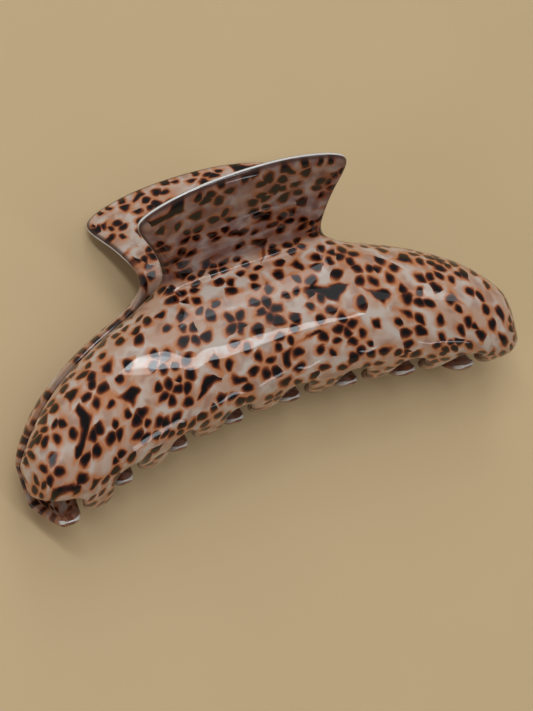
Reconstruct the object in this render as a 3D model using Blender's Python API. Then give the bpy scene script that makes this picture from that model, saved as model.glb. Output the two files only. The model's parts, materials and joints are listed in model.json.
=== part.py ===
"""A large spring hair claw: two identical arched jaws on one hinge pin, closed by a torsion spring.

The jaws are designed in the clip's own axes: U along the hinge pin, V from the teeth up to the
handles, W from the mid plane out towards the front jaw. An empty then lays the clip down on its rear
jaw, so that the table is the plane z = 0.

Each jaw is one moulding. Its middle surface is a coarse quad cage that is thickened, given a round
rim and smoothed by subdivision. The rear jaw is the front jaw turned half a turn about V, which
offsets its teeth by half a pitch, so the two rows of teeth interlock. Only the lengths of its teeth
differ, as both rows hang a little lower at the clip's left end.
"""

import math

import bmesh
import bpy
from mathutils import Matrix, Vector

MM = 0.001

# Driving dimensions of a jaw.
HALF_LENGTH = 55.4 * MM  # to the centre of the end rim
WALL = 2.4 * MM
RIM_GAP = 3.0 * MM  # from the mid plane to the centre of the closing rim
DEPTH = 14.2 * MM  # how far the body bulges out past that rim
TOP_RADIUS = 79.0 * MM  # the arched back of the body
TOP = -1.5 * MM  # V of that back's highest point
BOTTOM = -29.5 * MM  # V of the body's underside at the middle
BOTTOM_DROP = 7.0 * MM  # how much lower the underside is at the end teeth
END_ROUND = 3.2 * MM  # how far the back turns down at both ends
BARE_END_ROUND = 6.5 * MM  # how far the underside turns up at the end that has no tooth
CORNER_ROUND = 2.8 * MM  # how far it turns up beside the corner tooth
TEETH = 8
PITCH = 13.2 * MM
ROW_HALF = PITCH * (TEETH - 1) / 2
COLUMN = PITCH / 4  # the cage's spacing along U
FIRST_TOOTH = 15  # the cage column of the front jaw's rightmost tooth
END_COLUMN = 17  # the cage column that lies in the closing end rim
TOOTH_HALF_WIDTHS = (3.1 * MM, 2.5 * MM, 1.9 * MM, 1.1 * MM)  # root to tip
CORNER_FLANK = (3.3 * MM, 2.0 * MM, 1.0 * MM)  # the corner tooth's outer flank, below the end rim
NOTCH = 0.2  # how far the gap between two teeth cuts up into the last row of the body
TOOTH_REACH = 3.6 * MM  # how far a tip passes the mid plane
TOOTH_DROP = 2.4 * MM  # how far below the underside a tip hangs at the middle
END_TOOTH_DROP = 0.4 * MM  # how much further the teeth near both ends hang
SKEW_TOOTH_DROP = 0.85 * MM  # how much less the corner tooth hangs, and the one at the bare end more
ROW_LEAN = 1.2 * MM  # how much less the teeth at the right end of both jaws hang, and the left ones more

# The waist between body and handle, and the handle above it.
WAIST_COLUMN = 5  # the cage column at the waist's edge
WAIST_V = 0.8 * MM  # where the handle's flat face starts
WAIST_W = 10.4 * MM
VALLEY = ((0.0, 0.0), (-3.2 * MM, -0.7 * MM), (-7.0 * MM, 3.6 * MM))  # (V, W) steps down from there
SHOULDERS = (0.72, 0.95)  # how far the columns next to the waist have changed into the body
FLARE = math.radians(47)  # the handle leans out from V by this much
HANDLE_ROWS = ((5.5 * MM, 17.2 * MM), (12.0 * MM, 19.0 * MM), (18.6 * MM, 22.6 * MM))
HANDLE_TOP = 24.6 * MM  # along the handle's face, at its middle
HANDLE_TOP_HALF = 20.6 * MM
HANDLE_TOP_ROUND = 4.0 * MM  # how much lower the top edge is at its ends

# Hinge and spring.
AXIS_V = -1.2 * MM
PIN_RADIUS = 1.2 * MM
BORE_RADIUS = 1.3 * MM
LUG_RADIUS = 3.1 * MM
LUG_WIDTH = 3.0 * MM
LUG_INNER = 7.6 * MM  # U of the lug next to the spring
LUG_OUTER = 11.1 * MM
LUG_ARC = (-15, -165)  # degrees about the pin: the eye, on the side away from the jaw's wall
LUG_FOOT = (  # (V, W) from where the handle starts: the lug's end inside the wall
    (-6.2 * MM, 1.4 * MM), (-4.2 * MM, -0.2 * MM), (-1.6 * MM, -0.4 * MM), (2.0 * MM, 1.9 * MM),
)
PIN_HEAD_RADIUS = 2.1 * MM
PIN_HEAD = 0.9 * MM
PIN_CHAMFER = 0.3 * MM
PIN_CROWN = 1.3 * MM  # radius of the flat on each head
WIRE_RADIUS = 0.6 * MM
COIL_RADIUS = 2.3 * MM
COIL_HALF_LENGTH = 4.9 * MM
COIL_TURNS = 9
COIL_STEP = 30  # degrees
LEG_HEIGHT = 12.5 * MM  # up the handle's face, where the wire presses on it
FOOT_LENGTH = 5.0 * MM
FOOT_BEND = 0.4 * MM
FIT_GAP = 0.3 * MM
ROUND_SIDES = 24

# How the surfaces curve.
SECTION_POWER = 2.6  # of the superellipse that a body section follows
SECTION_ANGLES = (0, 24, 52, 88, 124, 152)  # of its cage points, from the back's rim to the teeth
END_POWER = 4.0  # how squarely the body closes at its ends
END_ROOT = 2.5
TOOTH_SHARES = (0.34, 0.68, 1.0)  # of a tooth's rows, from its root to its tip
ELBOW = 0.55  # where a tooth turns, from its root to its tip across the clip
ELBOW_DROP = 1.0 * MM
HANDLE_TOP_POWER = 2.4  # of the curve of the handle's top edge
RIM_FULLNESS = 1.2  # how far the rim's cage stands out, so that smoothing leaves it round
REST_LAND_DEPTH = 0.12 * MM  # of the flats where the rear jaw lies on a table

COLOURS = {
    "shell": ((0.62, 0.42, 0.31), 0.12, 0.0),
    "steel": ((0.62, 0.62, 0.64), 0.28, 1.0),
}


def clear_scene():
    for old in list(bpy.data.objects):
        bpy.data.objects.remove(old)


def material(name):
    colour, roughness, metallic = COLOURS[name]
    made = bpy.data.materials.new(name)
    made.use_nodes = True
    shader = made.node_tree.nodes["Principled BSDF"]
    shader.inputs["Base Color"].default_value = (*colour, 1)
    shader.inputs["Roughness"].default_value = roughness
    shader.inputs["Metallic"].default_value = metallic
    return made


def add_object(name, data, parent, slot=None):
    made = bpy.data.objects.new(name, data)
    bpy.context.scene.collection.objects.link(made)
    made.parent = parent
    if slot:
        data.materials.append(slot)
    return made


def helper(name, data, parent):
    """An object that only cuts or joins others."""
    made = add_object(name, data, parent)
    made.hide_render = True
    made.display_type = "WIRE"
    return made


# --- the jaw's middle surface -------------------------------------------------------------------


def signed_power(value, power):
    return math.copysign(abs(value) ** power, value)


def end_rounding(u, reach, amount):
    """How far the outline turns in over this last stretch of the body, to round its corners."""
    into = max(0.0, (abs(u) - HALF_LENGTH) / reach + 1)
    return amount * into**2.5


def back(u):
    """V of the body's arched back."""
    arch = TOP_RADIUS - math.sqrt(TOP_RADIUS**2 - u**2)
    return TOP - arch - end_rounding(u, 4 * COLUMN, END_ROUND)


def underside(u):
    """V of the body's underside, which the teeth hang from. It turns up at both ends."""
    if u < 0:
        turned_up = end_rounding(u, 4 * COLUMN, BARE_END_ROUND)
    else:
        turned_up = end_rounding(u, 2 * COLUMN, CORNER_ROUND)
    return BOTTOM - BOTTOM_DROP * (u / ROW_HALF) ** 2 + turned_up


def depth(u):
    return DEPTH * max(0.0, 1 - (abs(u) / HALF_LENGTH) ** END_POWER) ** (1 / END_ROOT)


def body_section(u):
    """The cage points of one body section beyond the waist, from the back's rim to the tooth root."""
    top, low = back(u), underside(u)
    middle, half = (top + low) / 2, (top - low) / 2
    points = []
    for degrees in SECTION_ANGLES:
        angle = math.radians(degrees)
        v = middle + half * signed_power(math.cos(angle), 2 / SECTION_POWER)
        w = RIM_GAP + depth(u) * signed_power(math.sin(angle), 2 / SECTION_POWER)
        points.append(Vector((u, v, w)))
    return points


def waist_section(u):
    """A section through the waist: the valley under the handle, then the same body."""
    valley = [Vector((u, WAIST_V + v, WAIST_W + w)) for v, w in VALLEY]
    return valley + body_section(u)[len(valley):]


def shoulder_section(u, share):
    """A section that is this share of the way from the waist's to the body's."""
    return [a.lerp(b, share) for a, b in zip(waist_section(u), body_section(u), strict=True)]


def section(column):
    """The section of one cage column, counted from the middle. The end ones lie in the end rim."""
    u = math.copysign(min(abs(column) * COLUMN, HALF_LENGTH), column) if column else 0.0
    outside = abs(column) - WAIST_COLUMN
    if outside <= 0:
        return waist_section(u)
    if outside <= len(SHOULDERS):
        return shoulder_section(u, SHOULDERS[outside - 1])
    return body_section(u)


def is_notch(column):
    """Whether this column runs into the gap between two teeth, or between a tooth and the bare end."""
    return (column - FIRST_TOOTH) % 4 == 2 and column < FIRST_TOOTH


def tooth_tip(u, lean):
    """The end of the tooth at this place. Lean is how much less it hangs at this jaw's own right end."""
    share = u / ROW_HALF
    drop = TOOTH_DROP + END_TOOTH_DROP * share**2 - (SKEW_TOOTH_DROP + lean) * share**3
    return Vector((u, underside(u) - drop, -TOOTH_REACH))


def tooth_rows(root, column, side, lean):
    """The rows of one tooth's cage column below its root; side is -1, 0 or 1 across the tooth."""
    centre = column * COLUMN
    tip = tooth_tip(centre, lean)
    elbow = root.lerp(tip, ELBOW)
    elbow.y = min(root.y, tip.y) - ELBOW_DROP
    rows = []
    for share, half in zip(TOOTH_SHARES, TOOTH_HALF_WIDTHS[1:], strict=True):
        along = root.lerp(elbow, share).lerp(elbow.lerp(tip, share), share)
        rows.append(Vector((centre + side * half, along.y, along.z)))
    return rows


def handle_rows(column):
    """The handle's cage rows above the waist for one column of the waist."""
    across = column / WAIST_COLUMN
    rows = []
    for height, half in HANDLE_ROWS:
        rows.append(on_handle(half * across, height))
    rounded = HANDLE_TOP - HANDLE_TOP_ROUND * abs(across) ** HANDLE_TOP_POWER
    rows.append(on_handle(HANDLE_TOP_HALF * across, rounded))
    return rows


def on_handle(u, height):
    """A point of the handle's flat middle surface."""
    return Vector((u, WAIST_V + height * math.cos(FLARE), WAIST_W + height * math.sin(FLARE)))


class Surface:
    """The jaw's middle surface as it is put together: points, and quads between them."""

    def __init__(self):
        self.points = []
        self.quads = []

    def add(self, points):
        """Adds these points and returns their numbers."""
        first = len(self.points)
        self.points += points
        return list(range(first, len(self.points)))

    def strips(self, columns):
        """Joins each column of point numbers to the next with quads."""
        for left, right in zip(columns, columns[1:], strict=False):
            for a, b, c, d in zip(left, left[1:], right[1:], right, strict=False):
                self.quads.append((a, b, c, d))


def add_body(surface):
    """Adds the body's columns and returns them by their place."""
    body = {}
    for column in range(-END_COLUMN, END_COLUMN + 1):
        cage = section(column)
        if is_notch(column):
            cage[-1] = cage[-1].lerp(cage[-2], NOTCH)
        body[column] = surface.add(cage)
    surface.strips(list(body.values()))
    return body


def add_tooth(surface, body, tooth, lean):
    """Hangs one tooth from three columns of the body."""
    middle_root = surface.points[body[tooth][-1]]
    columns = []
    for side in (-1, 0, 1):
        root = body[tooth + side][-1]
        if side:
            surface.points[root].x = tooth * COLUMN + side * TOOTH_HALF_WIDTHS[0]
        columns.append([root] + surface.add(tooth_rows(middle_root, tooth, side, lean)))
    if tooth == FIRST_TOOTH:
        columns.append(corner_flank(surface, body, lean))
    surface.strips(columns)


def corner_flank(surface, body, lean):
    """The corner tooth's outer flank, which runs on from the body's end rim."""
    corner = body[END_COLUMN][-1]
    rows = tooth_rows(surface.points[corner], FIRST_TOOTH, 0, lean)
    for point, reach in zip(rows, CORNER_FLANK, strict=True):
        point.x += reach
    return [corner] + surface.add(rows)


def add_handle(surface, body):
    """Raises the handle from the waist's columns."""
    columns = []
    for column in range(-WAIST_COLUMN, WAIST_COLUMN + 1):
        rows = surface.add(list(reversed(handle_rows(column))))
        columns.append(rows + [body[column][0]])
    surface.strips(columns)


def jaw_surface(lean):
    surface = Surface()
    body = add_body(surface)
    for number in range(TEETH):
        add_tooth(surface, body, FIRST_TOOTH - 4 * number, lean)
    add_handle(surface, body)
    return surface


# --- from surface to solid ----------------------------------------------------------------------


def finished(mesh, name):
    """The data of a bmesh with its faces pointing out."""
    bmesh.ops.recalc_face_normals(mesh, faces=mesh.faces)
    data = bpy.data.meshes.new(name)
    mesh.to_mesh(data)
    mesh.free()
    return data


def surface_mesh(surface):
    """The middle surface as a bmesh whose faces look out of the clip."""
    mesh = bmesh.new()
    verts = [mesh.verts.new(p) for p in surface.points]
    for quad in surface.quads:
        mesh.faces.new([verts[i] for i in quad])
    bmesh.ops.recalc_face_normals(mesh, faces=mesh.faces)
    mesh.normal_update()
    if sum(f.normal.z * f.calc_area() for f in mesh.faces) < 0:
        bmesh.ops.reverse_faces(mesh, faces=mesh.faces)
        mesh.normal_update()
    return mesh


def rim_points(edges, reach):
    """For each point of the surface's edge, the place this far out along the surface."""
    outward = {}
    for edge in edges:
        loop = edge.link_loops[0]
        along = (loop.link_loop_next.vert.co - loop.vert.co).normalized()
        for vert in edge.verts:
            outward[vert] = outward.get(vert, Vector()) + along.cross(loop.face.normal)
    for vert, way in outward.items():
        way -= vert.normal * way.dot(vert.normal)
        way.normalize()
    return {vert: vert.co + way * reach for vert, way in outward.items()}


def thickened(surface):
    """A closed cage: the surface moved both ways along its normals, joined by a rim."""
    mesh = surface_mesh(surface)
    middle, faces = list(mesh.verts), list(mesh.faces)
    edges = [e for e in mesh.edges if e.is_boundary]
    half = WALL / 2
    places = rim_points(edges, half * RIM_FULLNESS)
    outer = {v: mesh.verts.new(v.co + v.normal * half) for v in middle}
    inner = {v: mesh.verts.new(v.co - v.normal * half) for v in middle}
    rim = {v: mesh.verts.new(place) for v, place in places.items()}
    for face in faces:
        mesh.faces.new([outer[v] for v in face.verts])
        mesh.faces.new([inner[v] for v in reversed(face.verts)])
    for edge in edges:
        a = edge.link_loops[0].vert
        b = edge.other_vert(a)
        mesh.faces.new((outer[b], outer[a], rim[a], rim[b]))
        mesh.faces.new((rim[b], rim[a], inner[a], inner[b]))
    bmesh.ops.delete(mesh, geom=middle, context="VERTS")
    data = finished(mesh, "jaw")
    data.shade_smooth()
    return data


def prism(name, outline, start, width):
    """A solid with this (v, w) outline, reaching from U = start over width."""
    mesh = bmesh.new()
    near = [mesh.verts.new((start, v, w)) for v, w in outline]
    face = mesh.faces.new(near)
    grown = bmesh.ops.extrude_face_region(mesh, geom=[face])
    moved = [g for g in grown["geom"] if isinstance(g, bmesh.types.BMVert)]
    bmesh.ops.translate(mesh, verts=moved, vec=(width, 0, 0))
    return finished(mesh, name)


def around_pin(radius, degrees):
    """The (v, w) place at this angle about the pin."""
    angle = math.radians(degrees)
    return AXIS_V + radius * math.cos(angle), radius * math.sin(angle)


def lug_outline():
    """A hinge knuckle: a round eye about the pin on an arm that widens into the waist's wall."""
    start, end = LUG_ARC
    steps = ROUND_SIDES // 2
    eye = [around_pin(LUG_RADIUS, start + (end - start) * k / steps) for k in range(steps + 1)]
    return eye + [(WAIST_V + v, WAIST_W + w) for v, w in LUG_FOOT]


def bore_outline():
    return [around_pin(BORE_RADIUS, 360 * k / ROUND_SIDES) for k in range(ROUND_SIDES)]


def add_boolean(target, tool, operation):
    cut = target.modifiers.new(tool.name, "BOOLEAN")
    cut.object = tool
    cut.operation = operation
    cut.solver = "EXACT"


def cut_rest_lands(jaw, parent):
    """Cuts the flats that the rear jaw lies on, one under its body and one under its handle."""
    size = 3 * HALF_LENGTH
    mesh = bmesh.new()
    below = Matrix.Translation((0, 0, -size / 2)) @ Matrix.Scale(size, 4)
    bmesh.ops.create_cube(mesh, size=1, matrix=below)
    add_boolean(jaw, helper("table", finished(mesh, "table"), parent), "DIFFERENCE")


def add_jaw(name, lean, parent, slot):
    jaw = add_object(name, thickened(jaw_surface(lean)), parent, slot)
    smooth = jaw.modifiers.new("smooth", "SUBSURF")
    smooth.levels = 1
    smooth.render_levels = 1
    for label, centre in (("outer_lug", LUG_OUTER), ("inner_lug", -LUG_INNER)):
        data = prism(f"{name}_{label}", lug_outline(), centre - LUG_WIDTH / 2, LUG_WIDTH)
        add_boolean(jaw, helper(f"{name}_{label}", data, parent), "UNION")
    reach = LUG_OUTER + LUG_WIDTH
    bore = prism(f"{name}_bore", bore_outline(), -reach, 2 * reach)
    add_boolean(jaw, helper(f"{name}_bore", bore, parent), "DIFFERENCE")
    return jaw


# --- pin and spring -----------------------------------------------------------------------------


def pin_profile():
    """(u, radius) along the pin, from one head's flat to the other's."""
    shank_end = LUG_OUTER + LUG_WIDTH / 2 + FIT_GAP
    tip = shank_end + PIN_HEAD
    half = [
        (tip, PIN_CROWN), (tip - PIN_CHAMFER, PIN_HEAD_RADIUS),
        (shank_end, PIN_HEAD_RADIUS), (shank_end, PIN_RADIUS),
    ]
    return [(-u, radius) for u, radius in half] + list(reversed(half))


def add_pin(parent, slot):
    """A steel pin with a formed head at each end."""
    mesh = bmesh.new()
    rings = []
    for u, radius in pin_profile():
        places = [around_pin(radius, 360 * k / ROUND_SIDES) for k in range(ROUND_SIDES)]
        rings.append([mesh.verts.new((u, v - AXIS_V, w)) for v, w in places])
    for lower, upper in zip(rings, rings[1:], strict=False):
        for k in range(ROUND_SIDES):
            mesh.faces.new((lower[k - 1], lower[k], upper[k], upper[k - 1]))
    mesh.faces.new(rings[0])
    mesh.faces.new(rings[-1])
    pin = add_object("hinge_pin", finished(mesh, "hinge_pin"), parent, slot)
    pin.location.y = AXIS_V
    return pin


def coil_point(share, leave):
    """The wire's place this share of the way round the coil, which starts where the leg leaves it."""
    swept = 2 * math.pi * COIL_TURNS - 2 * leave
    angle = -leave - swept * share
    u = COIL_HALF_LENGTH * (2 * share - 1)
    return Vector((u, COIL_RADIUS * math.cos(angle), COIL_RADIUS * math.sin(angle)))


def spring_path():
    """The wire's centre line about the pin: rear foot, rear leg, coil, front leg, front foot."""
    off_face = WALL / 2 + WIRE_RADIUS + FIT_GAP
    pad = on_handle(0, LEG_HEIGHT) + Vector((0, math.sin(FLARE), -math.cos(FLARE))) * off_face
    v, w = pad.y - AXIS_V, pad.z
    leg = [
        Vector((-COIL_HALF_LENGTH - FOOT_LENGTH, v, -w)),
        Vector((-COIL_HALF_LENGTH - FOOT_BEND, v, -w)),
        Vector((-COIL_HALF_LENGTH, v - FOOT_BEND, -w + FOOT_BEND)),
    ]
    leave = math.atan2(w, v) + math.acos(COIL_RADIUS / math.hypot(v, w))
    steps = round((360 * COIL_TURNS - 2 * math.degrees(leave)) / COIL_STEP)
    coil = [coil_point(step / steps, leave) for step in range(steps + 1)]
    return leg + coil + [Vector((-p.x, p.y, -p.z)) for p in reversed(leg)]


def add_spring(parent, slot):
    curve = bpy.data.curves.new("torsion_spring", "CURVE")
    curve.dimensions = "3D"
    curve.bevel_depth = WIRE_RADIUS
    curve.bevel_resolution = 1
    curve.use_fill_caps = True
    path = spring_path()
    wire = curve.splines.new("POLY")
    wire.points.add(len(path) - 1)
    for point, place in zip(wire.points, path, strict=True):
        point.co = (*place, 1)
    spring = add_object("torsion_spring", curve, parent, slot)
    spring.location.y = AXIS_V
    return spring


# --- assembly -----------------------------------------------------------------------------------


def outline(jaw, side):
    """The (v, w) places of a finished jaw's points; side is -1 for the jaw behind the mid plane."""
    evaluated = jaw.evaluated_get(bpy.context.evaluated_depsgraph_get())
    points = [Vector((v.co.y, side * v.co.z)) for v in evaluated.to_mesh().vertices]
    evaluated.to_mesh_clear()
    return points


def settle(frame, front_jaw, rear_jaw):
    """Turns and lowers the frame until the rear jaw's handle and body both rest on z = 0."""
    rear = outline(rear_jaw, -1)
    tilt = 0.0
    for _ in range(12):
        turn = Matrix.Rotation(tilt, 2)
        placed = [turn @ p for p in rear]
        handle = min((p for p, q in zip(placed, rear, strict=True) if q.x > 0), key=lambda p: p.y)
        body = min((p for p, q in zip(placed, rear, strict=True) if q.x < 0), key=lambda p: p.y)
        tilt -= math.atan2(handle.y - body.y, handle.x - body.x)
    across = [p.x for p in placed] + [(turn @ p).x for p in outline(front_jaw, 1)]
    frame.rotation_euler.x = tilt
    frame.location.y = -(min(across) + max(across)) / 2
    frame.location.z = -min(handle.y, body.y) - REST_LAND_DEPTH


def main():
    clear_scene()
    shell, steel = material("shell"), material("steel")
    frame = add_object("clip_frame", None, None)
    turned = add_object("half_turn", None, frame)
    turned.rotation_euler.y = math.pi
    front = add_jaw("front_jaw", ROW_LEAN, frame, shell)
    rear = add_jaw("rear_jaw", -ROW_LEAN, turned, shell)
    add_pin(frame, steel)
    add_spring(frame, steel)
    bpy.context.view_layer.update()
    settle(frame, front, rear)
    cut_rest_lands(rear, None)


main()
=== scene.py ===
"""The looks of a spotted tortoiseshell hair claw that lies closed on its rear jaw.

The jaws are built in the clip's own axes, as the CAD was: U along the hinge pin, V from the teeth up
to the handles, W from the mid plane out towards the front jaw. clip_frame() finds those axes in the
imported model, so every piece lands where the CAD has it.
"""

import json
import math

import bmesh
import bpy
from mathutils import Matrix, Vector


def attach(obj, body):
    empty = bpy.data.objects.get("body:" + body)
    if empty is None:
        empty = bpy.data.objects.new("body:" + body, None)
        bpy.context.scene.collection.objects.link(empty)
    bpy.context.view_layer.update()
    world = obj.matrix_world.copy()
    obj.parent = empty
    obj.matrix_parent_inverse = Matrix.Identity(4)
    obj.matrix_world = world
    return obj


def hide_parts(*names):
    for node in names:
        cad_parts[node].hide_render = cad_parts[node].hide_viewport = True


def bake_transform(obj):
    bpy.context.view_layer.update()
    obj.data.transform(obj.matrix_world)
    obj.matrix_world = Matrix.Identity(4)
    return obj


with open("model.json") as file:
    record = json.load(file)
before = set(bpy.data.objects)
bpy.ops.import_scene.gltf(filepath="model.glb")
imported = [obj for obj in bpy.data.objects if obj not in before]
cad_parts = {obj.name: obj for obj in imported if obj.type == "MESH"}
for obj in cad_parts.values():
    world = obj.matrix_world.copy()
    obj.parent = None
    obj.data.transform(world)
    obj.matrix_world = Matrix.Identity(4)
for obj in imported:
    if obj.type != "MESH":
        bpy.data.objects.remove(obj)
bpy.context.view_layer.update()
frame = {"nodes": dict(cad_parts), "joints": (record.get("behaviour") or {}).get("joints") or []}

MM = 0.001

# The jaw moulding, as designed in the CAD.
HALF_LENGTH = 55.4 * MM  # to the centre of the end rim
WALL = 2.4 * MM
RIM_GAP = 3.0 * MM  # from the mid plane to the centre of the closing rim
DEPTH = 14.2 * MM  # how far the body bulges out past that rim
TOP_RADIUS = 79.0 * MM  # the arched back of the body
TOP = -1.5 * MM  # V of that back's highest point
BOTTOM = -29.5 * MM  # V of the body's underside at the middle
BOTTOM_DROP = 7.0 * MM  # how much lower the underside is at the end teeth
END_ROUND = 3.2 * MM  # how far the back turns down at both ends
BARE_END_ROUND = 6.5 * MM  # how far the underside turns up at the end that has no tooth
CORNER_ROUND = 2.8 * MM  # how far it turns up beside the corner tooth
TEETH = 8
PITCH = 13.2 * MM
ROW_HALF = PITCH * (TEETH - 1) / 2
TOOTH_COLUMNS = 4  # cage columns from one tooth to the next
COLUMN = PITCH / TOOTH_COLUMNS  # the cage's spacing along U
FIRST_TOOTH = 15  # the cage column of the front jaw's rightmost tooth
END_COLUMN = 17  # the cage column that lies in the closing end rim
TOOTH_HALF_WIDTHS = (3.1 * MM, 2.5 * MM, 1.9 * MM, 1.1 * MM)  # root to tip
CORNER_FLANK = (3.3 * MM, 2.0 * MM, 1.0 * MM)  # the corner tooth's outer flank, below the end rim
NOTCH = 0.2  # how far the gap between two teeth cuts up into the last row of the body
TOOTH_REACH = 3.6 * MM  # how far a tip passes the mid plane
TOOTH_DROP = 2.4 * MM  # how far below the underside a tip hangs at the middle
END_TOOTH_DROP = 0.4 * MM  # how much further the teeth near both ends hang
SKEW_TOOTH_DROP = 0.85 * MM  # how much less the corner tooth hangs, and the one at the bare end more
ROW_LEAN = 1.2 * MM  # how much less the teeth at the right end of both jaws hang, and the left ones more

# The waist between body and handle, and the handle above it.
WAIST_COLUMN = 5  # the cage column at the waist's edge
WAIST_V = 0.8 * MM  # where the handle's flat face starts
WAIST_W = 10.4 * MM
VALLEY = ((0.0, 0.0), (-3.2 * MM, -0.7 * MM), (-7.0 * MM, 3.6 * MM))  # (V, W) steps down from there
SHOULDERS = (0.72, 0.95)  # how far the columns next to the waist have changed into the body
FLARE = math.radians(47)  # the handle leans out from V by this much
HANDLE_ROWS = ((5.5 * MM, 17.2 * MM), (12.0 * MM, 19.0 * MM), (18.6 * MM, 22.6 * MM))
HANDLE_TOP = 24.6 * MM  # along the handle's face, at its middle
HANDLE_TOP_HALF = 20.6 * MM
HANDLE_TOP_ROUND = 4.0 * MM  # how much lower the top edge is at its ends

# How the surfaces curve.
SECTION_POWER = 2.6  # of the superellipse that a body section follows
SECTION_ANGLES = (0, 24, 52, 88, 124, 152)  # of its cage points, from the back's rim to the teeth
CREST = 3  # the cage row along the body's furthest bulge
END_POWER = 4.0  # how squarely the body closes at its ends
END_ROOT = 2.5
TOOTH_SHARES = (0.34, 0.68, 1.0)  # of a tooth's rows, from its root to its tip
ELBOW = 0.55  # where a tooth turns, from its root to its tip across the clip
ELBOW_DROP = 1.0 * MM
HANDLE_TOP_POWER = 2.4  # of the curve of the handle's top edge
RIM_FULLNESS = 1.2  # how far the rim's cage stands out, so that smoothing leaves it round
SMOOTHING = 3

# Hinge and spring.
AXIS_V = -1.2 * MM
PIN_RADIUS = 1.2 * MM
BORE_RADIUS = 1.3 * MM
LUG_RADIUS = 3.1 * MM
LUG_WIDTH = 3.0 * MM
LUG_INNER = 7.6 * MM  # U of the lug next to the spring
LUG_OUTER = 11.1 * MM
LUG_ARC = (-15, -165)  # degrees about the pin: the eye, on the side away from the jaw's wall
LUG_FOOT = (  # (V, W) from where the handle starts: the lug's end inside the wall
    (-6.2 * MM, 1.4 * MM), (-4.2 * MM, -0.2 * MM), (-1.6 * MM, -0.4 * MM), (2.0 * MM, 1.9 * MM),
)
LUG_EDGE = 0.35 * MM
PIN_HEAD_RADIUS = 2.1 * MM
PIN_HEAD = 0.9 * MM
PIN_DOME = 0.7  # the share of the head's height that is domed
DOME_STEPS = 6
WIRE_RADIUS = 0.6 * MM
COIL_RADIUS = 2.3 * MM
COIL_HALF_LENGTH = 4.9 * MM
COIL_TURNS = 9
TURN_STEPS = 40
LEG_HEIGHT = 12.5 * MM  # up the handle's face, where the wire presses on it
FOOT_LENGTH = 5.0 * MM
FOOT_BEND = 0.9 * MM
BEND_STEPS = 6
FIT_GAP = 0.3 * MM
ROUND_SIDES = 64

# The camera looks down on the clip from over its bare end, a little turned.
CAMERA_TARGET = Vector((-1.2, -15.1, 25.9)) * MM
CAMERA_WAY = Vector((0.2595, 0.1394, -0.9556))
CAMERA_DISTANCE = 415 * MM
CAMERA_ROLL = math.radians(-21.25)
SENSOR_HEIGHT = 24.0
LENS = 67.56


# --- where the clip is --------------------------------------------------------------------------


def centroid(node):
    """The area-weighted centre of a CAD node's surface."""
    mesh = frame["nodes"][node].data
    area = sum(p.area for p in mesh.polygons)
    return sum((p.center * p.area for p in mesh.polygons), Vector()) / area


def clip_frame():
    """The matrix from the clip's (U, V, W) axes to the row frame.

    The jaws are alike, so the point midway between their centres lies on the mid plane, as the hinge
    does, and the line through both is the V axis.
    """
    hinge = Vector(frame["joints"][0]["pos_m"])
    up = hinge - (centroid("front_jaw") + centroid("rear_jaw")) / 2
    tilt = math.atan2(up.z, up.y)
    turn = Matrix.Rotation(tilt, 4, "X")
    return Matrix.Translation(hinge) @ turn @ Matrix.Translation((0, -AXIS_V, 0))


# --- the jaw's middle surface -------------------------------------------------------------------


def signed_power(value, power):
    return math.copysign(abs(value) ** power, value)


def end_rounding(u, reach, amount):
    """How far the outline turns in over this last stretch of the body, to round its corners."""
    into = max(0.0, (abs(u) - HALF_LENGTH) / reach + 1)
    return amount * into**2.5


def back(u):
    """V of the body's arched back."""
    arch = TOP_RADIUS - math.sqrt(TOP_RADIUS**2 - u**2)
    return TOP - arch - end_rounding(u, PITCH, END_ROUND)


def underside(u):
    """V of the body's underside, which the teeth hang from. It turns up at both ends."""
    if u < 0:
        turned_up = end_rounding(u, PITCH, BARE_END_ROUND)
    else:
        turned_up = end_rounding(u, PITCH / 2, CORNER_ROUND)
    return BOTTOM - BOTTOM_DROP * (u / ROW_HALF) ** 2 + turned_up


def depth(u):
    return DEPTH * max(0.0, 1 - (abs(u) / HALF_LENGTH) ** END_POWER) ** (1 / END_ROOT)


def body_section(u):
    """The cage points of one body section beyond the waist, from the back's rim to the tooth root."""
    top, low = back(u), underside(u)
    middle, half = (top + low) / 2, (top - low) / 2
    points = []
    for degrees in SECTION_ANGLES:
        angle = math.radians(degrees)
        v = middle + half * signed_power(math.cos(angle), 2 / SECTION_POWER)
        w = RIM_GAP + depth(u) * signed_power(math.sin(angle), 2 / SECTION_POWER)
        points.append(Vector((u, v, w)))
    return points


def waist_section(u):
    """A section through the waist: the valley under the handle, then the same body."""
    valley = [Vector((u, WAIST_V + v, WAIST_W + w)) for v, w in VALLEY]
    return valley + body_section(u)[len(valley):]


def shoulder_section(u, share):
    """A section that is this share of the way from the waist's to the body's."""
    return [a.lerp(b, share) for a, b in zip(waist_section(u), body_section(u), strict=True)]


def section(column):
    """The section of one cage column, counted from the middle. The end ones lie in the end rim."""
    u = math.copysign(min(abs(column) * COLUMN, HALF_LENGTH), column) if column else 0.0
    outside = abs(column) - WAIST_COLUMN
    if outside <= 0:
        return waist_section(u)
    if outside <= len(SHOULDERS):
        return shoulder_section(u, SHOULDERS[outside - 1])
    return body_section(u)


def is_notch(column):
    """Whether this column runs into the gap between two teeth, or between a tooth and the bare end."""
    midway = (column - FIRST_TOOTH) % TOOTH_COLUMNS == TOOTH_COLUMNS / 2
    return midway and column < FIRST_TOOTH


def tooth_tip(u, lean):
    """The end of the tooth at this place. Lean is how much less it hangs at this jaw's own right end."""
    share = u / ROW_HALF
    drop = TOOTH_DROP + END_TOOTH_DROP * share**2 - (SKEW_TOOTH_DROP + lean) * share**3
    return Vector((u, underside(u) - drop, -TOOTH_REACH))


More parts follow.
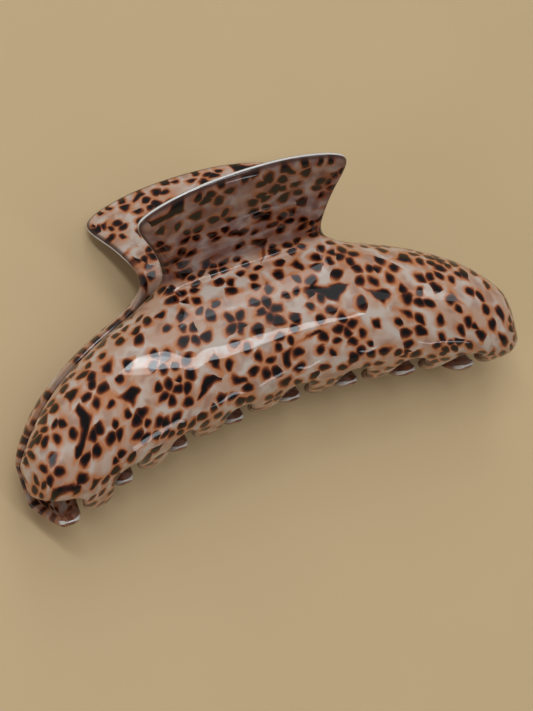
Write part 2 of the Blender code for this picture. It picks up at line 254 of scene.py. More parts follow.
def tooth_rows(root, column, side, lean):
    """The rows of one tooth's cage column below its root; side is -1, 0 or 1 across the tooth."""
    centre = column * COLUMN
    tip = tooth_tip(centre, lean)
    elbow = root.lerp(tip, ELBOW)
    elbow.y = min(root.y, tip.y) - ELBOW_DROP
    rows = []
    for share, half in zip(TOOTH_SHARES, TOOTH_HALF_WIDTHS[1:], strict=True):
        along = root.lerp(elbow, share).lerp(elbow.lerp(tip, share), share)
        rows.append(Vector((centre + side * half, along.y, along.z)))
    return rows


def on_handle(u, height):
    """A point of the handle's flat middle surface."""
    return Vector((u, WAIST_V + height * math.cos(FLARE), WAIST_W + height * math.sin(FLARE)))


def handle_rows(column):
    """The handle's cage rows above the waist for one column of the waist."""
    across = column / WAIST_COLUMN
    rows = []
    for height, half in HANDLE_ROWS:
        rows.append(on_handle(half * across, height))
    rounded = HANDLE_TOP - HANDLE_TOP_ROUND * abs(across) ** HANDLE_TOP_POWER
    rows.append(on_handle(HANDLE_TOP_HALF * across, rounded))
    return rows


class Surface:
    """The jaw's middle surface as it is put together.

    It keeps its points, the quads between them and, for each point, how far down a tooth it is and
    its place on the pattern: the distances along the surface, in millimetres, from the body's crest.
    """

    def __init__(self):
        self.points = []
        self.quads = []
        self.tooth = []
        self.places = []

    def add(self, points, places, tooth=None):
        """Adds these points and returns their numbers."""
        first = len(self.points)
        self.points += points
        self.places += places
        self.tooth += tooth or [0.0] * len(points)
        return list(range(first, len(self.points)))

    def strips(self, columns):
        """Joins each column of point numbers to the next with quads."""
        for left, right in zip(columns, columns[1:], strict=False):
            for a, b, c, d in zip(left, left[1:], right[1:], right, strict=False):
                self.quads.append((a, b, c, d))

    def place_beyond(self, number, points):
        """Pattern places of points that run on, one after another, below this one."""
        across, along = self.places[number]
        last = self.points[number]
        places = []
        for point in points:
            along -= (point - last).length / MM
            last = point
            places.append((across + (point.x - self.points[number].x) / MM, along))
        return places


def section_places(cage, across):
    """Pattern places of one section: zero at the crest, positive towards the back."""
    steps = [0.0]
    for a, b in zip(cage, cage[1:], strict=False):
        steps.append(steps[-1] - (b - a).length / MM)
    return [(across, step - steps[CREST]) for step in steps]


def add_body(surface):
    """Adds the body's columns and returns them by their place."""
    body = {}
    across, last_crest = 0.0, None
    for column in range(-END_COLUMN, END_COLUMN + 1):
        cage = section(column)
        if last_crest:
            across += (cage[CREST] - last_crest).length / MM
        last_crest = cage[CREST]
        if is_notch(column):
            cage[-1] = cage[-1].lerp(cage[-2], NOTCH)
        body[column] = surface.add(cage, section_places(cage, across))
    surface.strips(list(body.values()))
    return body


def add_tooth(surface, body, tooth, lean):
    """Hangs one tooth from three columns of the body."""
    middle_root = surface.points[body[tooth][-1]]
    columns = []
    for side in (-1, 0, 1):
        root = body[tooth + side][-1]
        if side:
            surface.points[root].x = tooth * COLUMN + side * TOOTH_HALF_WIDTHS[0]
        rows = tooth_rows(middle_root, tooth, side, lean)
        places = surface.place_beyond(root, rows)
        columns.append([root] + surface.add(rows, places, list(TOOTH_SHARES)))
    if tooth == FIRST_TOOTH:
        columns.append(corner_flank(surface, body, lean))
    surface.strips(columns)


def corner_flank(surface, body, lean):
    """The corner tooth's outer flank, which runs on from the body's end rim."""
    corner = body[END_COLUMN][-1]
    rows = tooth_rows(surface.points[corner], FIRST_TOOTH, 0, lean)
    for point, reach in zip(rows, CORNER_FLANK, strict=True):
        point.x += reach
    places = surface.place_beyond(corner, rows)
    return [corner] + surface.add(rows, places, list(TOOTH_SHARES))


def add_handle(surface, body):
    """Raises the handle from the waist's columns."""
    columns = []
    for column in range(-WAIST_COLUMN, WAIST_COLUMN + 1):
        root = body[column][0]
        rows = handle_rows(column)
        beyond = surface.place_beyond(root, rows)
        start = surface.places[root][1]
        places = [(across, 2 * start - along) for across, along in beyond]
        numbers = surface.add(list(reversed(rows)), list(reversed(places)))
        columns.append(numbers + [root])
    surface.strips(columns)


def jaw_surface(lean):
    surface = Surface()
    body = add_body(surface)
    for number in range(TEETH):
        add_tooth(surface, body, FIRST_TOOTH - TOOTH_COLUMNS * number, lean)
    add_handle(surface, body)
    return surface


# --- from surface to solid ----------------------------------------------------------------------


def add_object(name, data, material=None):
    made = bpy.data.objects.new(name, data)
    bpy.context.scene.collection.objects.link(made)
    if material:
        data.materials.append(material)
    return made


def finished(mesh, name):
    """The data of a bmesh with its faces pointing out."""
    bmesh.ops.recalc_face_normals(mesh, faces=mesh.faces)
    data = bpy.data.meshes.new(name)
    mesh.to_mesh(data)
    mesh.free()
    return data


def baked_down(made, sharp=None):
    """Turns an object's modifiers into its mesh, which is shaded smooth but for edges this sharp."""
    graph = bpy.context.evaluated_depsgraph_get()
    data = bpy.data.meshes.new_from_object(made.evaluated_get(graph))
    made.modifiers.clear()
    made.data = data
    data.shade_smooth()
    if sharp:
        data.set_sharp_from_angle(angle=math.radians(sharp))
    return made


def rim_points(edges, reach):
    """For each point of the surface's edge, the place this far out along the surface."""
    outward = {}
    for edge in edges:
        loop = edge.link_loops[0]
        along = (loop.link_loop_next.vert.co - loop.vert.co).normalized()
        for vert in edge.verts:
            outward[vert] = outward.get(vert, Vector()) + along.cross(loop.face.normal)
    for vert, way in outward.items():
        way -= vert.normal * way.dot(vert.normal)
        way.normalize()
    return {vert: vert.co + way * reach for vert, way in outward.items()}


def surface_mesh(surface):
    """The middle surface as a bmesh whose faces look out of the clip."""
    mesh = bmesh.new()
    verts = [mesh.verts.new(p) for p in surface.points]
    mesh.verts.index_update()
    for quad in surface.quads:
        mesh.faces.new([verts[i] for i in quad])
    bmesh.ops.recalc_face_normals(mesh, faces=mesh.faces)
    mesh.normal_update()
    if sum(f.normal.z * f.calc_area() for f in mesh.faces) < 0:
        bmesh.ops.reverse_faces(mesh, faces=mesh.faces)
        mesh.normal_update()
    return mesh


def thickened(surface):
    """A closed cage: the surface moved both ways along its normals, joined by a rim.

    Its UV map "pattern" holds the pattern's places, and "edges" the nearness to the rim and to a tip.
    """
    mesh = surface_mesh(surface)
    middle, faces = list(mesh.verts), list(mesh.faces)
    edges = [e for e in mesh.edges if e.is_boundary]
    half = WALL / 2
    places = rim_points(edges, half * RIM_FULLNESS)
    looks = {}

    def grow(source, co, rim_share):
        made = mesh.verts.new(co)
        looks[made] = (surface.places[source.index], (rim_share, surface.tooth[source.index]))
        return made

    near = {v: 0.5 if v in places else 0.0 for v in middle}
    outer = {v: grow(v, v.co + v.normal * half, near[v]) for v in middle}
    inner = {v: grow(v, v.co - v.normal * half, near[v]) for v in middle}
    rim = {v: grow(v, place, 1.0) for v, place in places.items()}
    for face in faces:
        mesh.faces.new([outer[v] for v in face.verts])
        mesh.faces.new([inner[v] for v in reversed(face.verts)])
    for edge in edges:
        a = edge.link_loops[0].vert
        b = edge.other_vert(a)
        mesh.faces.new((outer[b], outer[a], rim[a], rim[b]))
        mesh.faces.new((rim[b], rim[a], inner[a], inner[b]))
    bmesh.ops.delete(mesh, geom=middle, context="VERTS")
    layers = [mesh.loops.layers.uv.new(name) for name in ("pattern", "edges")]
    for face in mesh.faces:
        for loop in face.loops:
            for layer, look in zip(layers, looks[loop.vert], strict=True):
                loop[layer].uv = look
    return finished(mesh, "jaw")


def prism(name, outline, start, width):
    """A solid with this (v, w) outline, reaching from U = start over width."""
    mesh = bmesh.new()
    near = [mesh.verts.new((start, v, w)) for v, w in outline]
    face = mesh.faces.new(near)
    grown = bmesh.ops.extrude_face_region(mesh, geom=[face])
    moved = [g for g in grown["geom"] if isinstance(g, bmesh.types.BMVert)]
    bmesh.ops.translate(mesh, verts=moved, vec=(width, 0, 0))
    bmesh.ops.recalc_face_normals(mesh, faces=mesh.faces)
    pattern = mesh.loops.layers.uv.new("pattern")
    mesh.loops.layers.uv.new("edges")
    for face in mesh.faces:
        for loop in face.loops:
            loop[pattern].uv = (loop.vert.co.x / MM, loop.vert.co.z / MM)
    return finished(mesh, name)


def around_pin(radius, degrees):
    """The (v, w) place at this angle about the pin."""
    angle = math.radians(degrees)
    return AXIS_V + radius * math.cos(angle), radius * math.sin(angle)


def lug_outline():
    """A hinge knuckle: a round eye about the pin on an arm that widens into the waist's wall."""
    start, end = LUG_ARC
    steps = ROUND_SIDES // 2
    eye = [around_pin(LUG_RADIUS, start + (end - start) * k / steps) for k in range(steps + 1)]
    return eye + [(WAIST_V + v, WAIST_W + w) for v, w in LUG_FOOT]


def bore_outline():
    return [around_pin(BORE_RADIUS, 360 * k / ROUND_SIDES) for k in range(ROUND_SIDES)]


def combine(target, name, data, operation):
    """Joins this solid to the target, or cuts it out of it."""
    tool = add_object(name, data)
    if operation == "UNION":
        edge = tool.modifiers.new("edge", "BEVEL")
        edge.width = LUG_EDGE
        edge.segments = 3
        edge.angle_limit = math.radians(50)
    change = target.modifiers.new(name, "BOOLEAN")
    change.object = tool
    change.operation = operation
    change.solver = "EXACT"
    return tool


def build_jaw(name, placed, material, lean):
    """One jaw at this place: the shell, its two lugs and their bore."""
    jaw = add_object(name, thickened(jaw_surface(lean)), material)
    smooth = jaw.modifiers.new("smooth", "SUBSURF")
    smooth.levels = SMOOTHING
    smooth.render_levels = SMOOTHING
    tools = []
    for label, centre in (("outer_lug", LUG_OUTER), ("inner_lug", -LUG_INNER)):
        data = prism(label, lug_outline(), centre - LUG_WIDTH / 2, LUG_WIDTH)
        tools.append(combine(jaw, f"{name}_{label}", data, "UNION"))
    reach = LUG_OUTER + LUG_WIDTH
    bore = prism("bore", bore_outline(), -reach, 2 * reach)
    tools.append(combine(jaw, f"{name}_bore", bore, "DIFFERENCE"))
    baked_down(jaw, sharp=35)
    for tool in tools:
        bpy.data.objects.remove(tool)
    jaw.data.transform(placed)
    return jaw


# --- pin and spring -----------------------------------------------------------------------------


def pin_profile():
    """(u, radius) along the pin, from the middle of one domed head to the middle of the other."""
    shank_end = LUG_OUTER + LUG_WIDTH / 2 + FIT_GAP
    dome = []
    for k in range(DOME_STEPS + 1):
        angle = math.pi / 2 * k / DOME_STEPS
        height = PIN_HEAD * (1 - PIN_DOME + PIN_DOME * math.cos(angle))
        dome.append((shank_end + height, PIN_HEAD_RADIUS * math.sin(angle)))
    half = dome[1:] + [(shank_end, PIN_HEAD_RADIUS), (shank_end, PIN_RADIUS)]
    return [(-u, radius) for u, radius in half] + list(reversed(half))


def build_pin(placed, material):
    mesh = bmesh.new()
    rings = []
    for u, radius in pin_profile():
        places = [around_pin(radius, 360 * k / ROUND_SIDES) for k in range(ROUND_SIDES)]
        rings.append([mesh.verts.new((u, v, w)) for v, w in places])
    for lower, upper in zip(rings, rings[1:], strict=False):
        for k in range(ROUND_SIDES):
            mesh.faces.new((lower[k - 1], lower[k], upper[k], upper[k - 1]))
    mesh.faces.new(rings[0])
    mesh.faces.new(rings[-1])
    data = finished(mesh, "pin")
    data.shade_smooth()
    data.set_sharp_from_angle(angle=math.radians(40))
    pin = add_object("pin", data, material)
    data.transform(placed)
    return pin


def coil_point(share, leave):
    """The wire's place this share of the way round the coil, which starts where the leg leaves it."""
    swept = 2 * math.pi * COIL_TURNS - 2 * leave
    angle = -leave - swept * share
    u = COIL_HALF_LENGTH * (2 * share - 1)
    return Vector((u, AXIS_V + COIL_RADIUS * math.cos(angle), COIL_RADIUS * math.sin(angle)))


def spring_path():
    """The wire's centre line about the pin: rear foot, rear leg, coil, front leg, front foot."""
    off_face = WALL / 2 + WIRE_RADIUS + FIT_GAP
    pad = on_handle(0, LEG_HEIGHT) + Vector((0, math.sin(FLARE), -math.cos(FLARE))) * off_face
    v, w = pad.y, pad.z
    leave = math.atan2(w, v - AXIS_V) + math.acos(COIL_RADIUS / math.hypot(v - AXIS_V, w))
    corner = Vector((-COIL_HALF_LENGTH, v, -w))
    foot_end = corner - Vector((FOOT_LENGTH, 0, 0))
    leaving = coil_point(0, leave)
    down_leg = (leaving - corner).normalized()
    bend = []
    for k in range(BEND_STEPS + 1):
        share = k / BEND_STEPS
        a = corner.lerp(corner - Vector((FOOT_BEND, 0, 0)), 1 - share)
        b = corner.lerp(corner + down_leg * FOOT_BEND, share)
        bend.append(a.lerp(b, share))
    leg = [foot_end] + bend
    steps = COIL_TURNS * TURN_STEPS
    coil = [coil_point(step / steps, leave) for step in range(steps + 1)]
    return leg + coil + [Vector((-p.x, p.y, -p.z)) for p in reversed(leg)]


def build_spring(placed, material):
    curve = bpy.data.curves.new("wire", "CURVE")
    curve.dimensions = "3D"
    curve.bevel_depth = WIRE_RADIUS
    curve.bevel_resolution = 4
    curve.use_fill_caps = True
    path = spring_path()
    wire = curve.splines.new("POLY")
    wire.points.add(len(path) - 1)
    for point, place in zip(wire.points, path, strict=True):
        point.co = (*place, 1)
    drawn = add_object("wire", curve)
    bpy.context.view_layer.update()
    data = bpy.data.meshes.new_from_object(drawn.evaluated_get(bpy.context.evaluated_depsgraph_get()))
    bpy.data.objects.remove(drawn)
    data.shade_smooth()
    data.set_sharp_from_angle(angle=math.radians(50))
    spring = add_object("spring", data, material)
    data.transform(placed)
    return spring


# --- materials ----------------------------------------------------------------------------------


class Graph:
    """A short way to write a material's nodes: each call adds a node and returns its output."""

    def __init__(self, name):
        self.material = bpy.data.materials.new(name)
        self.material.use_nodes = True
        self.nodes = self.material.node_tree.nodes
        self.links = self.material.node_tree.links
        self.shader = self.nodes["Principled BSDF"]

    def add(self, kind, inputs=(), **settings):
        node = self.nodes.new("ShaderNode" + kind)
        for key, value in settings.items():
            setattr(node, key, value)
        for key, value in dict(inputs).items():
            self.put(node.inputs[key], value)
        return node

    def put(self, socket, value):
        if isinstance(value, bpy.types.NodeSocket):
            self.links.new(value, socket)
        else:
            socket.default_value = value

    def set(self, **values):
        """Sets the shader's inputs, whose names are written with underscores."""
        for key, value in values.items():
            self.put(self.shader.inputs[key.replace("_", " ")], value)

    def math(self, operation, *values):
        return self.add("Math", enumerate(values), operation=operation).outputs[0]

    def between(self, share, low, high):
        """The number this share of the way from low to high."""
        return self.math("MULTIPLY_ADD", share, high - low, low)

    def vector(self, operation, *values):
        node = self.add("VectorMath", operation=operation)
        for socket, value in zip(node.inputs, values, strict=False):
            self.put(socket, value)
        return node.outputs["Value" if operation == "LENGTH" else "Vector"]

    def scaled(self, vector, factor):
        return self.add("VectorMath", {0: vector, "Scale": factor}, operation="SCALE").outputs[0]

    def turned(self, vector, angle):
        node = self.add("VectorRotate", {"Vector": vector, "Angle": angle}, rotation_type="Z_AXIS")
        return node.outputs[0]

    def noise(self, vector, size, detail=2.0, output="Fac"):
        """Noise whose features are about this size, in the vector's units."""
        inputs = {"Vector": vector, "Scale": 1 / size, "Detail": detail}
        return self.add("TexNoise", inputs).outputs[output]

    def ramp(self, value, stops):
        """Colours at these values, from the lowest to the highest."""
        low, high = stops[0][0], stops[-1][0]
        inputs = {"Value": value, "From Min": low, "From Max": high}
        factor = self.add("MapRange", inputs).outputs[0]
        node = self.add("ValToRGB", {"Fac": factor})
        elements = node.color_ramp.elements
        while len(elements) < len(stops):
            elements.new(0.5)
        for element, (at, colour) in zip(elements, stops, strict=True):
            element.position = (at - low) / (high - low)
            element.color = (*colour, 1)
        return node.outputs[0]

    def fade(self, value, low, high):
        """0 below low, 1 above high, and smooth between."""
        inputs = {"Value": value, "From Min": low, "From Max": high}
        return self.add("MapRange", inputs, interpolation_type="SMOOTHSTEP").outputs[0]

    def mix(self, factor, a, b):
        node = self.add("Mix", data_type="RGBA")
        self.put(node.inputs["Factor"], factor)
        self.put(node.inputs[6], a)
        self.put(node.inputs[7], b)
        return node.outputs[2]


# The pattern, whose lengths are in millimetres along the sheet.
FAR = 9.0  # a distance that is outside every spot
CELL_RANDOMNESS = 0.72
SEED_SHIFT = (31.7, 17.3)  # how far apart the layouts of two seeds are taken
OVAL = (1.3, 0.98)  # half length and half width
PETAL = (1.2, 0.88)
PETAL_SHARE = 0.9  # of the petals of a clover that are there
FLAKE_ROUNDING = 1.1


def cells(graph, place, size, seed):
    """A random layout's nearest cell: the offset from its centre, that centre, three random shares."""
    shifted = graph.vector("ADD", place, (seed * SEED_SHIFT[0], seed * SEED_SHIFT[1], 0))
    inputs = {"Vector": shifted, "Scale": 1 / size, "Randomness": CELL_RANDOMNESS}
    voronoi = graph.add("TexVoronoi", inputs, voronoi_dimensions="2D")
    offset = graph.vector("SUBTRACT", shifted, voronoi.outputs["Position"])
    centre = graph.vector("SUBTRACT", place, offset)
    split = graph.add("SeparateColor", {"Color": voronoi.outputs["Color"]})
    return offset, centre, list(split.outputs)


def only_if(graph, distance, kept):
    """Takes a spot away where kept is 0."""
    return graph.math("MULTIPLY_ADD", graph.math("SUBTRACT", 1.0, kept), FAR, distance)


def oval_distance(graph, offset, halves, size):
    """About how far outside an oval a point is. It is negative inside."""
    length, width = halves
    squeezed = graph.vector("MULTIPLY", offset, (1 / length, 1 / width, 0))
    reach = graph.math("DIVIDE", graph.vector("LENGTH", squeezed), size)
    return graph.math("MULTIPLY", graph.math("SUBTRACT", reach, 1.0), width)


def oval(graph, offset, turn, grow):
    """An oval spot with a slightly pointed end."""
    offset = graph.turned(offset, graph.math("MULTIPLY", turn, math.tau))
    taper = graph.math("MULTIPLY_ADD", graph.add("SeparateXYZ", {0: offset}).outputs[0], 0.22, 1.0)
    offset = graph.vector("MULTIPLY", offset, graph.add("CombineXYZ", {0: 1.0, 1: taper}).outputs[0])
    return oval_distance(graph, offset, OVAL, graph.between(grow, 0.7, 1.15))


def clover(graph, offset, turn, grow):
    """A group of up to four petals round a centre."""
    split = graph.add("SeparateXYZ", {0: offset}).outputs
    angle = graph.math("MULTIPLY_ADD", turn, math.tau, graph.math("ARCTAN2", split[1], split[0]))
    quarter = graph.math("DIVIDE", angle, math.pi / 2)
    number = graph.math("FLOOR", quarter)
    from_middle = graph.math("SUBTRACT", graph.math("FRACT", quarter), 0.5)
    within = graph.math("MULTIPLY", from_middle, math.pi / 2)
    away = graph.vector("LENGTH", offset)
    spread = graph.between(grow, 1.55, 2.25)
    along = graph.math("SUBTRACT", graph.math("MULTIPLY", away, graph.math("COSINE", within)), spread)
    across = graph.math("MULTIPLY", away, graph.math("SINE", within))
    in_petal = graph.add("CombineXYZ", {0: along, 1: across}).outputs[0]
    key = graph.add("CombineXYZ", {0: number, 1: turn, 2: grow}).outputs[0]
    luck = graph.add("TexWhiteNoise", {"Vector": key}).outputs["Value"]
    petal = oval_distance(graph, in_petal, PETAL, graph.between(luck, 0.78, 1.18))
    return only_if(graph, petal, graph.math("LESS_THAN", luck, PETAL_SHARE))


def flake(graph, offset, turn, grow):
    """A broken piece with rounded corners and sides at odd angles, from compact to long and narrow."""
    offset = graph.turned(offset, graph.math("MULTIPLY", turn, math.tau))
    split = graph.add("SeparateXYZ", {0: offset}).outputs
    length = graph.between(graph.math("MULTIPLY", grow, grow), 0.95, 2.65)
    width = graph.between(turn, 0.6, 1.3)
    skew = graph.between(grow, -0.5, 0.7)
    skewed = graph.math("MULTIPLY_ADD", split[1], skew, split[0])
    narrowed = graph.math("MULTIPLY", split[1], graph.math("MULTIPLY_ADD", split[0], 0.25, 1.0))
    along = graph.math("SUBTRACT", graph.math("ABSOLUTE", skewed), length)
    across = graph.math("SUBTRACT", graph.math("ABSOLUTE", narrowed), width)
    return graph.math("SMOOTH_MAX", along, across, FLAKE_ROUNDING)


# Layers of spots, from the first laid: the shape, its cells' size, their seed, the share of cells
# that have a spot, and how far a spot's centre stays from the layers before it.
SPOT_LAYERS = (
    (flake, 9.5, 4, 0.6, 0.0),
    (clover, 6.8, 1, 0.85, 2.6),
    (oval, 3.3, 2, 0.84, 1.15),
)
DEEP_LAYERS = ((flake, 6.4, 7, 0.6, 0.0), (oval, 4.4, 8, 0.6, 0.6))


def laid(graph, place, layers):
    """How far outside the nearest spot of these layers a place is."""
    if not layers:
        return FAR
    before = layers[:-1]
    shape, size, seed, share, gap = layers[-1]
    offset, centre, (turn, grow, chance) = cells(graph, place, size, seed)
    kept = graph.math("LESS_THAN", chance, share)
    if before:
        free = graph.math("GREATER_THAN", laid(graph, centre, before), gap)
        kept = graph.math("MULTIPLY", kept, free)
    spot = only_if(graph, shape(graph, offset, turn, grow), kept)
    return graph.math("MINIMUM", spot, laid(graph, place, before))


# Colours of the sheet, from the darkest part of a spot out to the pale resin between spots, then those
# of its clear tooth ends, its cut edges (partly their own tone, partly painted shade), the share kept
# where the sheet darkens towards the handle, and a painted highlight.
BLACK = (0.0035, 0.002, 0.002)
DEEP_RED = (0.05, 0.010, 0.006)
RUST = (0.24, 0.06, 0.02)
ORANGE = (0.52, 0.19, 0.07)
PEACH = (0.51, 0.32, 0.23)
CREAM = (0.575, 0.475, 0.41)
AMBER = (0.50, 0.17, 0.09)
UMBER = (0.06, 0.026, 0.018)
HANDLE_DIMMING = (0.35, 0.23, 0.25)
PAINTED_HIGHLIGHT = (0.92, 0.89, 0.86)

# Where the looks change. The heights are pattern places above the crest, and the edge's nearness is 0.5
# beside the rim and about 0.83 at its middle.
HANDLE_START = (16.5, 20.0)
UP_HANDLE = (21.0, 27.0)
RIM = (0.55, 0.75)
RIM_MIDDLE = 0.83
TOOTH_END = (0.2, 0.9)
TOOTH_TIP = (0.75, 0.9)


def spotted(graph, place):
    """The sheet's colour at a place of the pattern."""
    wobble = graph.vector("SUBTRACT", graph.noise(place, 1.7, 0.5, "Color"), (0.5, 0.5, 0.5))
    bent = graph.vector("ADD", place, graph.scaled(wobble, 1.0))
    torn = graph.vector("ADD", place, graph.scaled(wobble, 2.4))
    spots = laid(graph, bent, SPOT_LAYERS)
    deep = laid(graph, torn, DEEP_LAYERS)
    clouds = graph.fade(graph.noise(place, 5.0, 1.5), 0.36, 0.6)
    base = graph.mix(clouds, (*CREAM, 1), (*PEACH, 1))
    veil = graph.math("MULTIPLY", graph.fade(deep, 0.7, -0.8), 0.4)
    base = graph.mix(veil, base, (*RUST, 1))
    spread = graph.math("MAXIMUM", graph.between(graph.noise(place, 2.6, 1.0), -0.6, 2.8), 0.5)
    halo = graph.fade(graph.math("DIVIDE", spots, spread), 1.0, 0.0)
    base = graph.mix(halo, base, (*ORANGE, 1))
    edge = graph.ramp(spots, ((-0.5, BLACK), (-0.18, DEEP_RED), (0.05, RUST), (0.3, ORANGE)))
    return graph.mix(graph.fade(spots, 0.4, 0.05), base, edge)


def dimmed_towards_handle(graph, colour, place, height, handle_dimming):
    """The colour where the sheet darkens in clouds towards the handle."""
    clouds = graph.fade(graph.noise(place, 3.5, 1.5), 0.35, 0.65)
    share = graph.between(clouds, 0.55 * handle_dimming, 0.95 * handle_dimming)
    share = graph.math("MULTIPLY", share, graph.fade(height, *HANDLE_START))
    return graph.mix(share, colour, graph.vector("MULTIPLY", colour, HANDLE_DIMMING))


def edge_shade_and_highlight(graph, colour, height, near_rim, down_tooth):
    """The colour with dark cut edges, partly their own tone and partly painted shade, and a painted
    highlight along the handle's edge and round the tips.
    """
    up_handle = graph.fade(height, *UP_HANDLE)
    tip = graph.fade(down_tooth, *TOOTH_TIP)
    # Partly painted shade: the rim is darkened, more on the handle than on the body; the rest is the
    # edge's own darker tone.
    shade = graph.math("MULTIPLY", graph.fade(near_rim, *RIM), graph.between(up_handle, 0.35, 0.85))
    # Painted highlight: a pale line along the middle of the rim, on the handle and round the tooth tips.
    highlight_line = graph.fade(near_rim, graph.between(tip, 0.80, 0.82), RIM_MIDDLE)
    highlight_line = graph.math("MULTIPLY", highlight_line, graph.math("MAXIMUM", up_handle, tip))
    colour = graph.mix(shade, colour, (*UMBER, 1))
    return graph.mix(graph.math("MULTIPLY", highlight_line, 0.9), colour, (*PAINTED_HIGHLIGHT, 1))


def shell_material(name, handle_dimming):
    """Polished acetate: dark petals and flakes with rusty halos in a cream sheet, clearer at its teeth.

    The second argument is how strongly the colour darkens in clouds towards the handle, from 0 to 1.
    """
    graph = Graph(name)
    place = graph.add("UVMap", uv_map="pattern").outputs[0]
    height = graph.add("SeparateXYZ", {0: place}).outputs[1]
    edges = graph.add("SeparateXYZ", {0: graph.add("UVMap", uv_map="edges").outputs[0]}).outputs
    tooth = graph.fade(edges[1], *TOOTH_END)
    colour = dimmed_towards_handle(graph, spotted(graph, place), place, height, handle_dimming)
    colour = graph.mix(graph.math("MULTIPLY", tooth, 0.5), colour, (*AMBER, 1))
    colour = edge_shade_and_highlight(graph, colour, height, edges[0], edges[1])
    rim_clear = graph.math("MULTIPLY", graph.fade(edges[0], *RIM), 0.15)
    clear = graph.math("MAXIMUM", rim_clear, graph.math("MULTIPLY", tooth, 0.3))
    ripple = graph.noise(place, 9.0, 1.0)
    bump = graph.add("Bump", {"Height": ripple, "Strength": 0.06, "Distance": 0.001})
    graph.set(
        Base_Color=colour,
        Roughness=0.3,
        IOR=1.49,
        Specular_IOR_Level=0.0,
        Transmission_Weight=clear,
        Subsurface_Weight=graph.between(tooth, 0.12, 0.0),
        Subsurface_Radius=(1.0, 0.45, 0.25),
        Subsurface_Scale=1.0 * MM,
        Coat_Weight=0.85,
        Coat_Roughness=0.02,
        Coat_IOR=1.46,
        Normal=bump.outputs[0],
        Coat_Normal=bump.outputs[0],
    )
    return graph.material


def steel_material(name, colour, roughness, stretch):
    """Drawn steel: fine scratches stretched along the piece, and faint clouding."""
    graph = Graph(name)
    place = graph.add("TexCoord").outputs["Object"]
    drawn = graph.vector("MULTIPLY", place, stretch)
    scratches = graph.noise(drawn, 0.25 * MM, 4.0)
    clouds = graph.noise(place, 2.5 * MM, 2.0)
    shade = graph.mix(clouds, (*colour, 1), (*(0.72 * c for c in colour), 1))
    bump = graph.add("Bump", {"Height": scratches, "Strength": 0.15, "Distance": 0.02 * MM})
    graph.set(
        Base_Color=shade,
        Metallic=1.0,
        Roughness=graph.between(scratches, roughness, roughness + 0.16),
        Normal=bump.outputs[0],
    )
    return graph.material


def floor_material():
    """A smooth matt table top in pale sand, with a very faint mottle."""
    graph = Graph("table_top")
    place = graph.add("TexCoord").outputs["Object"]
    mottle = graph.noise(place, 60 * MM, 3.0)
    colour = graph.ramp(mottle, ((0.3, (0.565, 0.405, 0.219)), (0.7, (0.59, 0.423, 0.229))))
    graph.set(Base_Color=colour, Roughness=0.55, Specular_IOR_Level=0.3)
    return graph.material


# --- the scene around the clip ------------------------------------------------------------------


def add_floor():
    mesh = bmesh.new()
    bmesh.ops.create_grid(mesh, x_segments=2, y_segments=2, size=1.6)
    floor = add_object("floor", finished(mesh, "floor"), floor_material())
    if floor.data.polygons[0].normal.z < 0:
        floor.data.flip_normals()


def aimed(place, target, roll=0.0):
    """The matrix of a camera or light at this place that looks at the target, its top towards +Y."""
    way = (Vector(target) - Vector(place)).normalized()
    right = way.cross(Vector((0, 1, 0))).normalized()
    turn = Matrix((right, right.cross(way), -way)).transposed().to_4x4()
    return Matrix.Translation(place) @ turn @ Matrix.Rotation(roll, 4, "Z")


WARM = (1.0, 0.98, 0.95)
COOL = (0.9, 0.96, 1.0)
LIT_POINT = Vector((0, 0, 0.03))
STRIP_HEIGHT = 1.5
STRIP_SLANT = 28  # degrees that the strip's long side is turned from the row's Y


def add_panel(name, place, size, radiance, tint=WARM, roll=0.0):
    """A rectangular lamp that faces the clip. Roll turns its long side away from the row's Y."""
    light = bpy.data.lights.new(name, "AREA")
    light.shape = "RECTANGLE"
    light.size, light.size_y = size
    light.energy = radiance * math.pi * size[0] * size[1]
    light.color = tint
    made = add_object(name, light)
    made.matrix_world = aimed(Vector(place), LIT_POINT, math.radians(roll))


def add_lights():
    """A strip overhead, brightest at its far end, a dim ceiling beside it, and four smaller lights."""
    up = Vector((0, 0, STRIP_HEIGHT))
    slant = Matrix.Rotation(math.radians(STRIP_SLANT), 3, "Z")
    beside = slant @ Vector((STRIP_HEIGHT, 0, 0))
    along = slant @ Vector((0, STRIP_HEIGHT, 0))
    overhead = (
        ("ceiling", up + beside * 0.27 + along * 0.2, (0.30, 1.5), 0.8),
        ("strip", up + beside * 0.03 - along * 0.02, (0.09, 1.3), 8.5),
        ("lamp", up * 0.99 + along * 0.27, (0.10, 0.66), 6.0),
    )
    for name, place, shares, radiance in overhead:
        size = [share * STRIP_HEIGHT for share in shares]
        add_panel(name, place, size, radiance, COOL, STRIP_SLANT)
    add_panel("neck_light", (0.45, 1.15, 1.3), (0.5, 1.3), 2.5, COOL, -20)
    add_panel("low_light", (0.5, -1.7, 0.12), (0.6, 0.035), 5.0, COOL)
    add_panel("right_window", (0.98, -0.23, 1.11), (0.4, 0.3), 2.5)
    add_panel("left_window", (-1.45, -0.24, 0.9), (0.8, 0.6), 2.2, COOL)


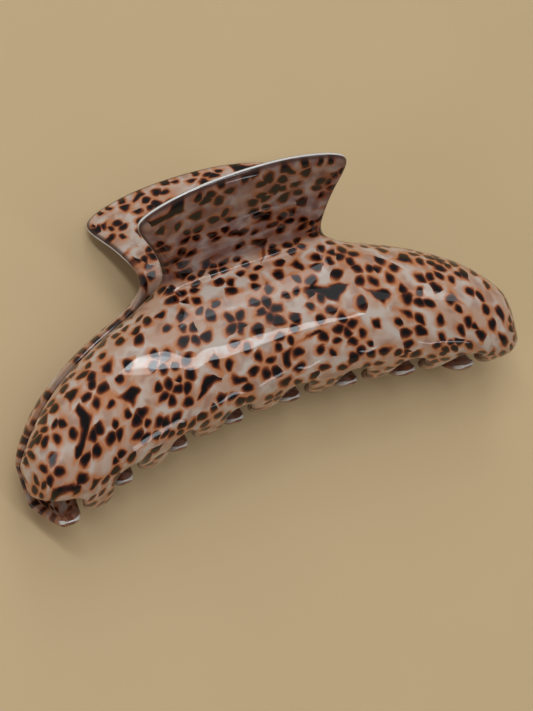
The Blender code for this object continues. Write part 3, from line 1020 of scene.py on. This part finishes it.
def add_room():
    """The dim light of the room, which is stronger behind the clip than in front of it."""
    world = bpy.data.worlds.new("room")
    world.use_nodes = True
    nodes, links = world.node_tree.nodes, world.node_tree.links
    split = nodes.new("ShaderNodeSeparateXYZ")
    links.new(nodes.new("ShaderNodeTexCoord").outputs["Generated"], split.inputs[0])
    strength = nodes.new("ShaderNodeMapRange")
    links.new(split.outputs[1], strength.inputs["Value"])
    for name, value in (("From Min", -0.7), ("From Max", 0.5), ("To Min", 0.2), ("To Max", 0.32)):
        strength.inputs[name].default_value = value
    background = nodes["Background"]
    background.inputs["Color"].default_value = (1.0, 0.97, 0.93, 1)
    links.new(strength.outputs[0], background.inputs["Strength"])
    bpy.context.scene.world = world


def add_camera():
    data = bpy.data.cameras.new("camera")
    data.sensor_fit = "VERTICAL"
    data.sensor_height = SENSOR_HEIGHT
    data.lens = LENS
    camera = add_object("camera", data)
    camera.matrix_world = aimed(CAMERA_TARGET - CAMERA_WAY * CAMERA_DISTANCE, CAMERA_TARGET, CAMERA_ROLL)
    bpy.context.scene.camera = camera


# --- everything together ------------------------------------------------------------------------


def main():
    placed = clip_frame()
    half_turn = Matrix.Rotation(math.pi, 4, "Y")
    front = build_jaw("front_shell", placed, shell_material("front_acetate", 1.0), ROW_LEAN)
    rear = build_jaw("rear_shell", placed @ half_turn, shell_material("rear_acetate", 0.0), -ROW_LEAN)
    pin = build_pin(placed, steel_material("pin_steel", (0.60, 0.60, 0.62), 0.25, (0.05, 1, 1)))
    spring = build_spring(placed, steel_material("spring_steel", (0.66, 0.66, 0.68), 0.18, (1, 1, 1)))

    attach(front, "front")
    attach(rear, "rear")
    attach(pin, "rear")
    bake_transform(spring)
    stand_ins = (
        (front, "front_jaw", "front_shell"),
        (rear, "rear_jaw", "rear_shell"),
        (pin, "hinge_pin", "pin_steel"),
        (spring, "torsion_spring", "spring_steel"),
    )
    for piece, node, slot in stand_ins:
        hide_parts(node)

    add_floor()
    add_lights()
    add_room()
    add_camera()
    bpy.context.scene.view_settings.view_transform = "Standard"


main()
